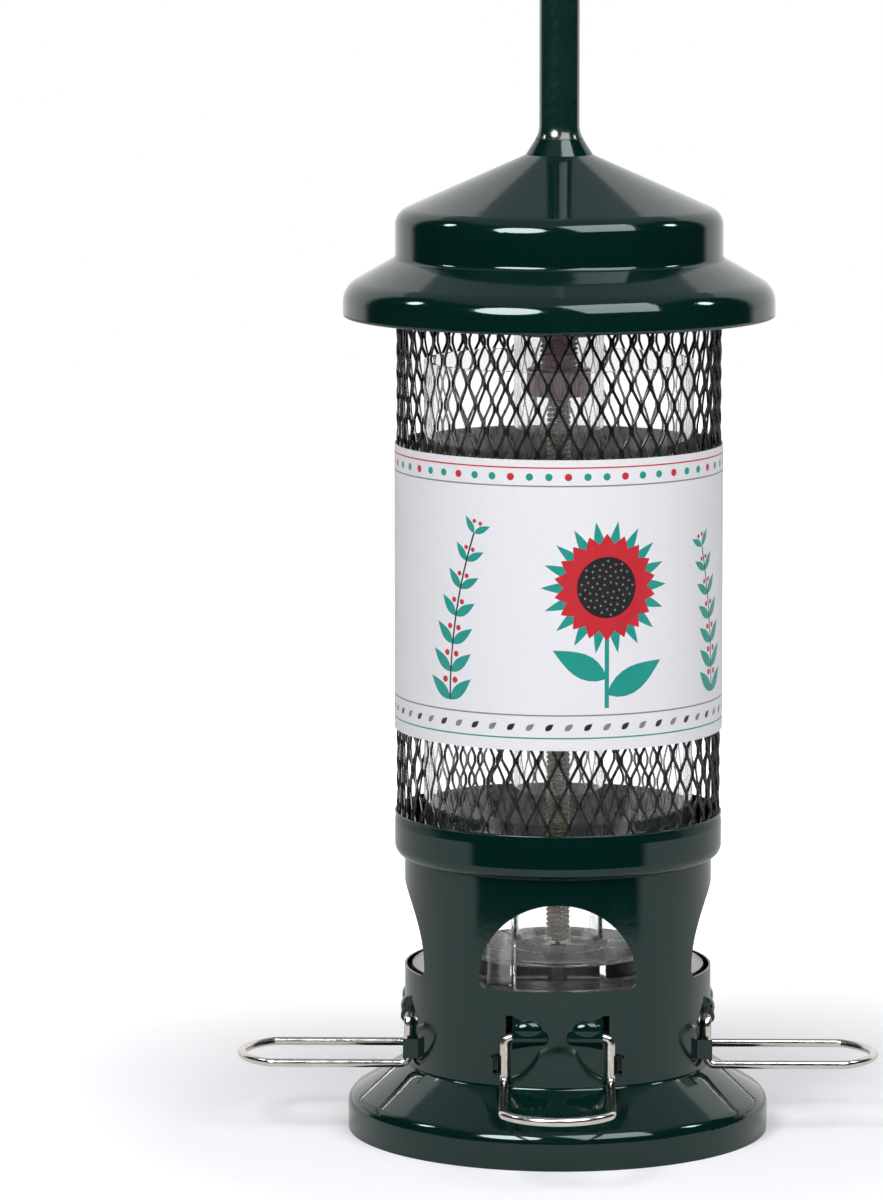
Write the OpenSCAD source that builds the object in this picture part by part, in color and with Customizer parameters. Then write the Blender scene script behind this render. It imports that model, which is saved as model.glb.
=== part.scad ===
// Squirrel-proof bird feeder: a clear seed tube hung on a spring inside a sliding wire shroud.
// The shroud carries the roof, the four feeding ports and the perches, and weight on it pulls
// the ports down past the seed tray, which shuts them. Millimetres, +Z up, origin on the floor.

/* [Base skirt] */
// Reach of the flared base skirt beyond the port shell
base_out = 17.8; // [13:0.1:24]
// Height of the upright side of the skirt, below its rounded edge
base_side_h = 8; // [6:0.1:10]
// Height at which the skirt meets the port shell
base_h = 21.4; // [19:0.1:24]
// Radius of the rounded upper edge of the skirt
base_round = 4.5; // [3:0.1:6]
// Wall of the skirt
base_wall = 1.2; // [0.8:0.1:1.8]
// Width of the in-turned foot that the feeder stands on
foot_w = 3; // [2:0.1:6]
// Width of the inner ledge that carries the port shell and the floor
ledge_w = 4; // [3:0.1:6]

/* [Base floor] */
// Thickness of the floor plate
floor_t = 1.4; // [1:0.1:2.4]
// Height of the rim that stiffens the floor plate
floor_rim_h = 4; // [2.5:0.1:7]
// Thickness of the rim that stiffens the floor plate
floor_rim_t = 1.3; // [0.8:0.1:2.5]
// Radius of the hub that steadies the spring anchor
hub_r = 6; // [4.5:0.1:9]
// Height of the hub above the plate
hub_h = 5; // [3:0.1:9]
// Diameter of each drain hole in the floor
drain_d = 5; // [3:0.1:8]
// Radius of the circle of drain holes
drain_ring_r = 30; // [20:0.5:38]
// Number of drain holes
drain_count = 8; // [4:1:10]

/* [Port shell] */
// Outer radius of the port shell
shell_r = 48; // [44:0.1:54]
// Thickness of the shell's sheet
shell_wall = 0.6; // [0.5:0.05:0.9]
// Height of the straight part of the shell, from the ledge to the collar
shell_h = 66.5; // [64:0.1:74]
// Step outwards from the shell to the collar
collar_step = 3.1; // [2.6:0.1:3.6]
// Height of the collar above the straight part
collar_h = 14; // [10:0.1:20]
// Radius of the rounded underside of the collar
collar_round = 4; // [3.6:0.1:5]
// Height of the lip at the collar's top that leans in to the cage
lip_h = 3; // [1:0.1:5]
// How far that lip leans in
lip_lean = 0.3; // [0.1:0.05:0.4]

/* [Feeding ports] */
// Width of each feeding port
port_w = 48.5; // [40:0.1:52]
// Height of each feeding port from its sill to its top
port_h = 27; // [25.5:0.1:30]
// Height of the sill above the shell's lower edge
port_sill = 31.8; // [30:0.1:34]
// Radius of the lower corners of a port
port_corner = 2.5; // [1:0.1:3.5]

/* [Perches] */
// Diameter of the perch wire
perch_d = 2.67; // [2.2:0.01:3]
// Distance between the centres of a perch's two legs
perch_gap = 32.8; // [31:0.1:34.4]
// Height of the perch pivots above the shell's lower edge
perch_pivot_h = 17.5; // [16.5:0.1:19]
// Depth of the pivot axis behind the shell's outer surface
perch_inset = 1.4; // [1.2:0.05:1.6]
// Drop from the pivot to the perch rail
perch_drop = 14.6; // [11:0.1:14.8]
// Reach of the perch rail from its pivot axis to its far centreline
perch_reach = 52.7; // [44:0.1:60]
// Centreline radius of the round end of the rail
perch_end_r = 18.7; // [18:0.1:20]
// Centreline radius of the blend between a rail and the round end
perch_blend_r = 4; // [3:0.1:6]
// Centreline radius of the bends at the legs
perch_bend_r = 2.5; // [2:0.1:3.2]
// Gap between the inner ends of a perch's two pivots
perch_pin_gap = 6.4; // [4:0.1:10]

/* [Louvers and tabs] */
// Running clearance round a perch pivot
pivot_fit = 0.065; // [0.04:0.005:0.1]
// Wall of a louver round its pivot
louver_wall = 1; // [0.7:0.05:1.2]
// Height of a louver above the pivot axis, where it runs into the shell
louver_up = 10; // [7:0.1:11.5]
// Depth of a louver below the pivot axis, where it runs into the shell
louver_down = 5.6; // [4:0.1:6.2]
// Distance from the middle to the inner end of a louver
louver_in = 2.4; // [1.5:0.1:3]
// Radius of the rounded inner end of a louver
louver_round = 3; // [2.8:0.1:4]
// Radius that a louver widens to at its outer end
louver_flare = 7.8; // [6:0.1:10]
// Width of the slot that a perch leg leaves the shell by
slot_w = 2; // [1.6:0.1:2.6]
// Height of that slot above the pivot axis
slot_up = 6.6; // [3.5:0.1:7.2]
// Height of a guide tab beside a perch leg
tab_h = 6.1; // [4:0.1:7]
// How far a guide tab stands out past the shell beside it
tab_out = 4.5; // [3:0.1:5]
// Width of the opening that a guide tab was bent out of
tab_hole_w = 1.6; // [1:0.1:2]
// Height of the guide tabs' lower edge above the shell's lower edge
tab_z = 5.3; // [4:0.1:6.5]
// Gap between a perch leg and its guide tab
tab_gap = 2.1; // [1.9:0.1:2.6]

/* [Wire mesh cage] */
// Thickness of the expanded sheet
mesh_wall = 0.8; // [0.6:0.05:1]
// Height of the cage
mesh_h = 181.4; // [150:0.1:200]
// Number of mesh cells round the cage
mesh_cells = 48; // [32:1:48]
// Height of one mesh cell
cell_h = 13.5; // [12:0.1:20]
// Width of one strand of the mesh
strand_w = 0.75; // [0.6:0.05:1]
// Plain edge left at the top and bottom of the mesh
mesh_edge = 1.5; // [1:0.1:3]
// Height of the hem ring on the top edge
hem_h = 3; // [2.5:0.1:5]
// Thickness of the hem ring on each side of the mesh
hem_t = 0.5; // [0.4:0.05:0.8]

/* [Label sleeve] */
// Height of the plain card sleeve round the mesh
label_h = 89.1; // [60:0.1:110]
// Height of the sleeve's lower edge above the collar
label_lift = 26.7; // [10:0.1:40]
// Thickness of the card
label_t = 0.35; // [0.3:0.05:0.6]
// Gap between the card and the mesh
label_gap = 0.45; // [0.3:0.05:0.7]

/* [Seed tube and tray] */
// Step inwards from the tray's rim to the seed tube
tube_step = 3.6; // [2.4:0.1:5]
// Wall of the seed tube
tube_wall = 1.6; // [1.2:0.1:2]
// Height of the seed tube above the tray
tube_h = 190; // [150:0.5:200]
// Height of the feed openings at the foot of the seed tube
feed_h = 27; // [25:0.1:30]
// Width of each post between two feed openings
post_w = 8.3; // [6:0.1:12]
// Angle from the middle of a port to the nearest post
post_angle = 25.5; // [20:0.5:45]
// Gap between the tray and the port shell
tray_gap = 1.8; // [1:0.1:2.6]
// Thickness of the tray
tray_t = 2; // [1.5:0.1:2.4]
// Width of the tray's gutter between the seed tube and the raised middle
gutter_w = 9.4; // [6:0.1:14]
// Height of the tray's raised middle
rise_h = 5.6; // [4:0.1:8]
// Height of the four tongues that hold the tube's posts
tongue_h = 16.7; // [10:0.1:20]
// Thickness of a tongue
tongue_t = 1.2; // [0.9:0.1:1.6]
// Radius of the hole that the spring passes through
tray_hole_r = 5; // [4.6:0.1:7]
// Slope of the raised middle's side, from its foot to its rim
rise_slope = 1; // [0.5:0.1:3]

/* [Centre tube] */
// Outer radius of the clear centre tube
core_r = 14; // [13:0.1:16]
// Wall of the centre tube
core_wall = 1; // [0.8:0.1:1.4]
// Height of the centre tube above the tray's raised middle
core_h = 204.4; // [190:0.1:206]
// Width of the socket ring round the foot of the centre tube
socket_w = 1.5; // [1:0.1:2.5]
// Height of the socket ring
socket_h = 2.4; // [1.5:0.1:4]
// Depth of the plug in the top of the centre tube
plug_depth = 12; // [11.5:0.1:15]
// Thickness of the plug's flange
plug_flange_t = 4; // [3:0.1:5]

/* [Spring and adjuster] */
// Outer diameter of the spring
spring_d = 7.5; // [7:0.1:8.2]
// Diameter of the spring wire
spring_wire_d = 1.35; // [1.1:0.05:1.45]
// Number of full curls
spring_curls = 71; // [60:1:74]
// Radius of the adjuster's grip
grip_r = 10; // [8:0.1:11.5]
// Height of the adjuster's grip
grip_h = 8.6; // [6:0.1:12]
// Radius of the adjuster's stem
stem_r = 6; // [5:0.1:7]
// Length of the stem inside the plug
stem_in = 7.5; // [5:0.1:7.8]
// Length of the stem between the grip and the plug
stem_free = 10.4; // [8:0.1:14]
// Radius of the spring anchor's rod
anchor_r = 1.6; // [1.3:0.05:2]
// Radius of the anchor's head
anchor_head_r = 2.4; // [2.2:0.05:3]
// Height of the anchor's head
anchor_head_h = 4; // [3:0.1:6]
// Width across the flats of the anchor's nut
nut_w = 7; // [5.5:0.1:9]
// Height of the anchor's nut
nut_h = 3.2; // [2:0.1:4.5]
// Radius of the anchor's washer
washer_r = 5; // [4:0.1:7]
// Thickness of the anchor's washer
washer_t = 1; // [0.6:0.1:1.6]
// Length of thread left below the nut
thread_out = 1.5; // [0.5:0.1:3]

/* [Roof] */
// Reach of the roof's brim beyond the crown
brim_out = 16.2; // [12:0.1:22]
// Height of the brim's upright side
brim_side_h = 4.6; // [3.5:0.1:7]
// Radius of the rounded edge of the brim
brim_round = 7.7; // [5:0.1:8.5]
// Height of the brim from its lower edge to the crown
brim_h = 18.4; // [16:0.1:22]
// Step outwards from the mesh cage to the crown
crown_step = 0.6; // [0.2:0.1:3]
// Height of the crown from the brim to the cone's projected edge
crown_h = 13.8; // [11:0.1:18]
// Rise of the cone
cone_h = 18; // [14:0.1:26]
// Outer radius of the neck at its foot
neck_foot_r = 10.5; // [9:0.1:12]
// Outer radius of the neck at its top
neck_top_r = 7.35; // [7:0.05:8.2]
// Height of the neck
neck_h = 4.9; // [4:0.1:8]
// Wall of the roof
roof_wall = 1.2; // [0.9:0.1:1.6]
// Radius of the rounded edge of the crown
crown_round = 5.8; // [3:0.1:7]
// Radius of the brim's lower outer edge
brim_edge_r = 1; // [0.5:0.1:1.1]
// Depth of the brim's lower edge below the top of the mesh cage
brim_drop = 15.9; // [12:0.1:20]
// Depth of the ring that centres the roof in the cage
ring_depth = 10; // [6:0.1:14]
// Wall of that ring
ring_wall = 0.8; // [0.6:0.05:1.2]
// Play between that ring and the hem inside the cage
ring_play = 0.5; // [0.3:0.05:0.8]

/* [Hanger] */
// Overall height of the feeder to the top of the hanger
total_h = 445; // [438:0.5:470]
// Diameter of the hanger wire
hanger_d = 2.4; // [2:0.1:2.6]
// Distance between the centres of the hanger's two legs
hanger_gap = 3.2; // [3:0.1:3.6]
// Centreline radius of the hanging loop
loop_r = 18; // [15:0.5:20]
// Centreline radius of the bends below the loop
loop_blend_r = 8; // [6:0.5:10]
// Length of the wire's feet inside the plug
hanger_foot = 7; // [5:0.1:9]
// Outer radius of the hanger sleeve
sleeve_r = 6.26; // [5.6:0.01:6.8]
// Length of the sleeve above the roof
sleeve_h = 50; // [40:0.5:60]
// Radius of the sleeve's flared foot
sleeve_foot_r = 7.45; // [7:0.05:8]
// Height of the sleeve's flare
sleeve_flare_h = 4.2; // [3:0.1:6]
// Clearance between the wire and the sleeve's bore
sleeve_fit = 0.5; // [0.3:0.05:0.8]
// Wall of the sleeve's spigot inside the roof's neck
spigot_wall = 1.2; // [0.8:0.1:1.6]
// Length of that spigot
spigot_h = 6.5; // [4:0.1:9]

/* [Hidden] */
$fn = 96;
eps = 0.01;
far = 200;
seam_w = 0.2;

// Fits between pieces that are joined for good, between faces that only rest,
// and between pieces that lie close without bearing on each other
joint_fit = 0.1;
rest_gap = 0.05;
near_gap = 0.4;

// Heights of the base and the port shell
base_r = shell_r + base_out;
neck_r = shell_r + joint_fit;
skirt_tilt = 90 - touch([base_r - base_round, base_side_h], base_round, [neck_r, base_h]);
shell_z = base_h - base_wall / cos(skirt_tilt);
collar_z = shell_z + shell_h;
collar_r = shell_r + collar_step;
collar_top = collar_z + collar_h;
shell_in = shell_r - shell_wall;
bend_x = collar_r - collar_round;
bend_z = collar_z + sqrt(pow(collar_round, 2) - pow(shell_r - bend_x, 2));
ledge_r = shell_in - ledge_w;

// Ports and perches
port_z = shell_z + port_sill;
port_r = port_w / 2;
port_top = port_z + port_h;
arch_z = port_top - port_r;
pivot_r = shell_r - perch_inset;
pivot_z = shell_z + perch_pivot_h;
perch_wire_r = perch_d / 2;
leg_x = perch_gap / 2;
pin_end = leg_x - perch_bend_r;
bore_r = perch_wire_r + pivot_fit;
louver_r = bore_r + louver_wall;
slot_end = pin_end + slot_w;
slot_depth = 6;
channel_up = 3.2;
tab_t = shell_wall;
tab_x = leg_x + perch_wire_r + tab_gap;
tab_base_r = sqrt(pow(shell_in, 2) - pow(tab_x, 2));

// Mesh cage, hem and label
mesh_out = collar_r - shell_wall - joint_fit;
mesh_r = mesh_out * cos(180 / mesh_cells);
mesh_in = mesh_r - mesh_wall;
mesh_z = bend_z - sqrt(pow(collar_round - shell_wall, 2) - pow(mesh_out - bend_x, 2)) + rest_gap;
mesh_top = mesh_z + mesh_h;
hem_top = mesh_top + rest_gap + hem_t;
half_w = mesh_r * tan(180 / mesh_cells);
half_h = cell_h / 2;
strand_tilt = atan(half_w / half_h);
open_w = half_w - strand_w / 2 / cos(strand_tilt);
open_h = half_h - strand_w / 2 / sin(strand_tilt);
mesh_rows = floor((mesh_h - 2 * mesh_edge) / half_h) - 1;
mesh_start = (mesh_h - (mesh_rows - 1) * half_h) / 2;
label_in = mesh_out + label_gap;
label_z = collar_top + label_lift;

// Tray, seed tube and centre tube
tray_lift = 0.2;
tray_r = shell_in - tray_gap;
tube_r = tray_r - tube_step;
tray_top = port_z + tray_lift;
tray_z = tray_top - tray_t;
rise_top = tray_top + rise_h;
tube_in = tube_r - tube_wall;
rise_r = tube_in - gutter_w;
tube_top = tray_top + tube_h;
post_half = asin(post_w / 2 / tube_r);
tongue_out = sqrt(pow(tube_in - joint_fit, 2) - pow(post_w / 2, 2)) - joint_fit;
core_in = core_r - core_wall;
core_top = rise_top + core_h;
plug_z = core_top - plug_depth;
plug_top = core_top + plug_flange_t;

// Spring, its adjuster and its anchor
stem_top = plug_z + stem_in;
grip_top = plug_z - stem_free;
grip_z = grip_top - grip_h;
stem_bore_r = stem_r + pivot_fit;
anchor_top = rise_top + near_gap;
anchor_end = shell_z - washer_t - nut_h - thread_out;
spring_z = anchor_top;
spring_top = grip_z;
spring_r = (spring_d - spring_wire_d) / 2;
curl_rings = 8;
spring_sides = 6;
spiral_h = 4;
spiral_turn = 300;
low_z = spring_z + spring_wire_d + spiral_h;
curls_h = spring_top - low_z - spring_wire_d - spiral_h;
spring_pitch = curls_h / spring_curls;
spiral_climb = spring_pitch * spiral_turn / 360;

// Roof
crown_r = mesh_out + crown_step;
brim_r = crown_r + brim_out;
brim_z = hem_top - brim_drop;
crown_z = brim_z + brim_h;
brim_tilt = 90 - touch([brim_r - brim_round, brim_z + brim_side_h], brim_round, [crown_r, crown_z]);
crown_foot = crown_z - roof_wall / cos(brim_tilt);
cone_tilt = atan2(cone_h, crown_r - neck_foot_r);
cone_z = crown_z + crown_h;
neck_z = cone_z + cone_h;
neck_top = neck_z + neck_h;
crown_bend_x = crown_r - crown_round;
crown_bend_z = cone_z + crown_round * tan(cone_tilt) - crown_round / cos(cone_tilt);
crown_in = crown_r - roof_wall;
seat_z = hem_top + rest_gap;
ring_out = mesh_in - hem_t - ring_play;
ring_in = ring_out - ring_wall;
shelf_t = 0.7;
sleeve_bore_r = hanger_gap / 2 + hanger_d / 2 + sleeve_fit;
spigot_r = sleeve_bore_r + spigot_wall;
sleeve_z = neck_top + rest_gap;
sleeve_top = sleeve_z + sleeve_h;

// Hanger wire
wire_r = hanger_d / 2;
leg_off = hanger_gap / 2;
loop_z = total_h - loop_r - wire_r;
leg_top = loop_z - sqrt(pow(loop_r + loop_blend_r, 2) - pow(leg_off + loop_blend_r, 2));
blend_tilt = atan2(loop_z - leg_top, leg_off + loop_blend_r);
foot_play = 0.2;
foot_slot_h = hanger_d + 3 * foot_play;
slot_floor = 0.3;
foot_slot_z = stem_top + near_gap + slot_floor;
foot_z = foot_slot_z + foot_slot_h - wire_r - rest_gap;
foot_bend_r = 2.2;

// Angle at which a line from point p touches a circle of radius r about c
function touch(c, r, p) =
  atan2(p[1] - c[1], p[0] - c[0]) - acos(r / norm(p - c));

// Quarter of a disc outwards and upwards from its centre c
module quarter_disc(c, r) {
  translate(c)
    intersection() {
      circle(r);
      square(r + 1);
    }
}

// Flared rim in section: upright side, round edge and slope up to point p, thinned by t
module rim_section(side_r, foot_z, side_h, round_r, p, t) {
  c = [side_r - round_r, foot_z + side_h];
  a = touch(c, round_r, p);
  n = [cos(a), sin(a)];
  inner = [p[0], p[1] - t / n[1]];
  difference() {
    union() {
      quarter_disc(c, round_r);
      polygon([[0, foot_z], [side_r, foot_z], [side_r, c[1]], c, c + round_r * n, p, [0, p[1]]]);
    }
    union() {
      quarter_disc(c, round_r - t);
      polygon([[-1, foot_z - 1], [side_r - t, foot_z - 1], [side_r - t, c[1]], c,
               c + (round_r - t) * n, inner, [-1, inner[1]]]);
    }
    translate([-1, inner[1]])
      square([1 + p[0], far]);
  }
}

// One tube of hollow round section between two heights
module ring(outer, inner, z0, z1) {
  translate([0, 0, z0])
    difference() {
      cylinder(h = z1 - z0, r = outer);
      translate([0, 0, -1])
        cylinder(h = z1 - z0 + 2, r = inner);
    }
}

module base_skirt() {
  color("#12302a")
    rotate_extrude() {
      rim_section(base_r, 0, base_side_h, base_round, [neck_r, base_h], base_wall);
      translate([base_r - foot_w, 0])
        square([foot_w - base_wall / 2, base_wall]);
      translate([ledge_r, shell_z - base_wall])
        square([neck_r + base_wall - ledge_r, base_wall]);
    }
}

module base_floor() {
  plate_r = shell_in - joint_fit;
  color("#1b1f1e")
    translate([0, 0, shell_z])
      difference() {
        union() {
          cylinder(h = floor_t, r = plate_r);
          ring(plate_r, plate_r - floor_rim_t, 0, floor_rim_h);
          cylinder(h = floor_t + hub_h, r = hub_r);
        }
        translate([0, 0, -1])
          cylinder(h = floor_t + hub_h + 2, r = anchor_r + pivot_fit);
        for (i = [0:drain_count - 1])
          rotate([0, 0, i * 360 / drain_count])
            translate([drain_ring_r, 0, -1])
              cylinder(h = floor_t + 2, r = drain_d / 2);
      }
}

// Section of the shell and its collar
module shell_section() {
  difference() {
    union() {
      translate([0, shell_z])
        square([shell_r, collar_top - shell_z]);
      polygon([[0, bend_z], [collar_r, bend_z], [collar_r, collar_top - lip_h],
               [collar_r - lip_lean, collar_top], [0, collar_top]]);
      translate([bend_x, bend_z])
        circle(collar_round);
    }
    translate([-1, shell_z - 1])
      square([shell_in + 1, collar_top - shell_z + 2]);
    translate([-1, bend_z])
      square([collar_r - shell_wall + 1, collar_top]);
    translate([bend_x, bend_z])
      circle(collar_round - shell_wall);
  }
}

// Arch of a port, drawn about its own centre: a half disc, two short sides and a sill
module port_outline() {
  side_h = arch_z - port_z - port_corner;
  corner_x = port_r - port_corner;
  intersection() {
    circle(port_r);
    translate([-port_r, 0])
      square([port_w, port_w]);
  }
  translate([-port_r, -side_h])
    square([port_w, side_h]);
  translate([-corner_x, -side_h - port_corner])
    square([2 * corner_x, side_h + port_corner]);
  for (side = [-1, 1])
    translate([side * corner_x, -side_h])
      circle(port_corner);
}

// Section of a louver: a round barrel about the pivot that runs into the shell above and below
module louver_section() {
  c = [pivot_r, pivot_z];
  top = [pivot_r - louver_r, pivot_z + louver_up];
  low = [pivot_r - louver_r, pivot_z - louver_down];
  a = touch(c, louver_r, top);
  b = -touch([pivot_r, -pivot_z], louver_r, [low[0], -low[1]]);
  translate(c)
    circle(louver_r);
  polygon([low, c + louver_r * [cos(b), sin(b)], c, c + louver_r * [cos(a), sin(a)], top]);
}

// Carries a section drawn as radius and height to a run along the tangent, from x0 to x1
module along_tangent(x0, x1) {
  translate([x1, 0, 0])
    rotate([90, 0, -90])
      linear_extrude(x1 - x0)
        children();
}

// Repeats a child of the front port at all four ports
module at_ports() {
  for (i = [0:3])
    rotate([0, 0, i * 90])
      children();
}

// Space that a louver fills along its pivot: a round inner end that widens towards the leg
module louver_space() {
  end_x = louver_in + louver_round;
  translate([0, -pivot_r, pivot_z])
    rotate([0, 90, 0])
      rotate_extrude()
        intersection() {
          union() {
            translate([0, end_x])
              circle(louver_round);
            polygon([[0, end_x], [louver_round, end_x], [louver_flare, pin_end + 1], [0, pin_end + 1]]);
          }
          square([far, far]);
        }
}

module louver_bodies() {
  difference() {
    for (side = [0, 1])
      mirror([side, 0, 0])
        intersection() {
          along_tangent(louver_in - 1, pin_end - eps)
            louver_section();
          louver_space();
        }
    translate([0, 0, pivot_z - far / 2])
      cylinder(h = far, r = shell_in);
  }
}

module louver_cuts() {
  for (side = [0, 1])
    mirror([side, 0, 0]) {
      along_tangent(louver_in + shell_wall, slot_end) {
        translate([pivot_r, pivot_z])
          circle(bore_r);
        translate([pivot_r - slot_depth, pivot_z - bore_r])
          square([slot_depth, bore_r + channel_up]);
      }
      translate([pin_end, -shell_r - slot_depth, pivot_z - bore_r])
        cube([slot_w, 2 * slot_depth, bore_r + slot_up]);
    }
}

module tab_cuts() {
  for (side = [0, 1])
    mirror([side, 0, 0])
      translate([tab_x - tab_hole_w, -shell_r, shell_z + tab_z])
        cube([tab_hole_w, shell_r - tab_base_r + tab_out, tab_h]);
}

module tabs() {
  for (side = [0, 1])
    mirror([side, 0, 0])
      translate([tab_x, -tab_base_r - tab_out - shell_wall, shell_z + tab_z])
        cube([tab_t, tab_out + shell_wall, tab_h]);
}

module port_shell() {
  color("#12302a") {
    difference() {
      union() {
        rotate_extrude()
          shell_section();
        at_ports()
          louver_bodies();
      }
      at_ports() {
        translate([0, 0, arch_z])
          rotate([90, 0, 0])
            translate([0, 0, shell_r / 2])
              linear_extrude(shell_r)
                port_outline();
        louver_cuts();
        tab_cuts();
      }
    }
    at_ports()
      tabs();
  }
}

// One flat strip of the lattice, a cell wide, with half cells along both sides
module mesh_strip() {
  translate([mesh_in, 0, mesh_z])
    rotate([90, 0, 90])
      linear_extrude(mesh_wall)
        difference() {
          translate([-half_w, 0])
            square([2 * half_w, mesh_h]);
          for (row = [0:mesh_rows - 1])
            for (side = row % 2 == 0 ? [0] : [-1, 1])
              translate([side * half_w, mesh_start + row * half_h])
                polygon([[open_w, 0], [0, open_h], [-open_w, 0], [0, -open_h]]);
        }
}

module mesh_cage() {
  color("#0d1513")
    for (i = [0:mesh_cells - 1])
      rotate([0, 0, i * 360 / mesh_cells])
        mesh_strip();
}

module mesh_hem() {
  color("#0d1513")
    difference() {
      ring(mesh_out + hem_t, mesh_in - hem_t, hem_top - hem_h, hem_top);
      ring(mesh_out + rest_gap, mesh_in - rest_gap, hem_top - hem_h - 1, mesh_top + rest_gap);
    }
}

module label_sleeve() {
  color("#e1e1e4")
    ring(label_in + label_t, label_in, label_z, label_z + label_h);
}

// One straight wire between two heights along Z
module wire_rod(r, z0, z1) {
  translate([0, 0, z0])
    cylinder(h = z1 - z0, r = r);
}

// A bend of the wire in the XY plane about the origin, from the X axis through an angle
module wire_arc(r, bend, sweep) {
  rotate_extrude(angle = sweep)
    translate([bend, 0])
      circle(r);
}

// A hair-thin band that closes the seam between two bends, at an angle of the first one
module wire_seam(r, bend, angle) {
  rotate([0, 0, angle])
    translate([bend, 0, 0])
      rotate([90, 0, 0])
        cylinder(h = seam_w, r = r + eps, center = true);
}

// One half of a perch, from its pivot to the middle of the rail's round end
module perch_half() {
  rail_z = pivot_z - perch_drop;
  end_c = pivot_r + perch_reach - perch_end_r;
  blend_x = leg_x - perch_blend_r;
  blend_y = sqrt(pow(perch_end_r - perch_blend_r, 2) - pow(blend_x, 2));
  turn = atan2(blend_y, blend_x);
  bend = perch_bend_r;
  r = perch_wire_r;
  translate([0, -pivot_r, pivot_z])
    rotate([0, 90, 0])
      wire_rod(r, perch_pin_gap / 2, pin_end);
  translate([pin_end, -pivot_r, pivot_z - bend])
    rotate([90, 0, 0])
      wire_arc(r, bend, 90);
  translate([leg_x, -pivot_r, 0])
    wire_rod(r, rail_z + bend, pivot_z - bend);
  translate([leg_x, -pivot_r - bend, rail_z + bend])
    rotate([0, 90, 0])
      wire_arc(r, bend, 90);
  translate([leg_x, 0, rail_z])
    rotate([90, 0, 0])
      wire_rod(r, pivot_r + bend, end_c + blend_y);
  translate([blend_x, -end_c - blend_y, rail_z])
    mirror([0, 1, 0])
      wire_arc(r, perch_blend_r, turn);
  translate([0, -end_c, rail_z]) {
    rotate([0, 0, -90])
      wire_arc(r, perch_end_r, 90 - turn);
    wire_seam(r, perch_end_r, -turn);
  }
}

module perch(turn) {
  color("#b4b2ad")
    rotate([0, 0, turn]) {
      perch_half();
      mirror([1, 0, 0])
        perch_half();
    }
}

module perch_front() {
  perch(0);
}

module perch_right() {
  perch(90);
}

module perch_back() {
  perch(180);
}

module perch_left() {
  perch(270);
}

module seed_tube() {
  color("#dfe6ea", 0.35)
    difference() {
      ring(tube_r, tube_in, tray_top, tube_top);
      for (i = [0:3])
        rotate([0, 0, i * 90 - 90 - post_angle + post_half])
          translate([0, 0, tray_top - 1])
            rotate_extrude(angle = 90 - 2 * post_half)
              translate([tube_in - 1, 0])
                square([tube_wall + 2, feed_h + 1]);
    }
}

// A tongue of the tray that stands inside a post of the seed tube
module tray_tongue() {
  tip = post_w / 2;
  translate([tongue_out - tongue_t, 0, tray_top - eps])
    rotate([90, 0, 90])
      linear_extrude(tongue_t) {
        translate([-tip, 0])
          square([post_w, tongue_h - tip]);
        translate([0, tongue_h - tip])
          circle(tip);
      }
}

module seed_tray() {
  socket_r = core_r + joint_fit;
  rim_r = rise_r - rise_slope;
  color("#d3d9dc", 0.45) {
    rotate_extrude()
      polygon([[rise_r - tray_t, tray_z], [tray_r, tray_z], [tray_r, tray_top], [rise_r, tray_top],
               [rim_r, rise_top], [socket_r + socket_w, rise_top],
               [socket_r + socket_w, rise_top + socket_h], [socket_r, rise_top + socket_h],
               [socket_r, rise_top], [tray_hole_r, rise_top], [tray_hole_r, rise_top - tray_t],
               [rim_r - tray_t, rise_top - tray_t]]);
    for (i = [0:3])
      rotate([0, 0, i * 90 - 90 - post_angle])
        tray_tongue();
  }
}

module centre_tube() {
  color("#dfe6ea", 0.35)
    ring(core_r, core_in, rise_top, core_top);
}

module tube_plug() {
  color("#2a2d2c")
    difference() {
      union() {
        wire_rod(core_in - joint_fit, plug_z, core_top + eps);
        wire_rod(core_r + 1, core_top, plug_top);
      }
      wire_rod(stem_bore_r, plug_z - 1, stem_top + near_gap);
      translate([-far / 2, -wire_r - foot_play, foot_slot_z])
        cube([far, hanger_d + 2 * foot_play, foot_slot_h]);
      for (side = [-1, 1])
        translate([side * leg_off, 0, 0])
          wire_rod(wire_r + joint_fit, foot_slot_z + eps, plug_top + 1);
    }
}

// Centreline of the spring: straight ends, spirals in to the axis, and even curls between
function spiral_z(s) = spiral_climb * s + (spiral_h - spiral_climb) * s * s;
function spiral_r(s) = spring_r * pow(cos(90 * s), 2);
function coil_point(r, a, z) = [r * cos(a), r * sin(a), z, a];
function spiral_point(s, end_a, end_z, side) =
  coil_point(spiral_r(s), end_a + side * spiral_turn * s, end_z + side * spiral_z(s));
spring_turn = 360 * spring_curls;
spring_path = concat(
  [coil_point(0, -spiral_turn, spring_z)],
  [for (i = [curl_rings:-1:1]) spiral_point(i / curl_rings, 0, low_z, -1)],
  [for (i = [0:spring_curls * curl_rings])
    coil_point(spring_r, 360 * i / curl_rings, low_z + spring_pitch * i / curl_rings)],
  [for (i = [1:curl_rings]) spiral_point(i / curl_rings, spring_turn, low_z + curls_h, 1)],
  [coil_point(0, spring_turn + spiral_turn, spring_top)]
);

function place(p) = [p[0], p[1], p[2]];
function unit(v) = v / norm(v);
function heading(path, i) =
  i == 0 || i == len(path) - 1 ? [0, 0, 1] : unit(place(path[i + 1]) - place(path[i - 1]));
function ring_points(path, i, r, sides) =
  let (t = heading(path, i),
       out = [cos(path[i][3]), sin(path[i][3]), 0],
       u = unit(out - (out * t) * t),
       v = cross(t, u))
  [for (k = [0:sides - 1])
    place(path[i]) + r * (cos(360 * k / sides) * u + sin(360 * k / sides) * v)];

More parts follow.
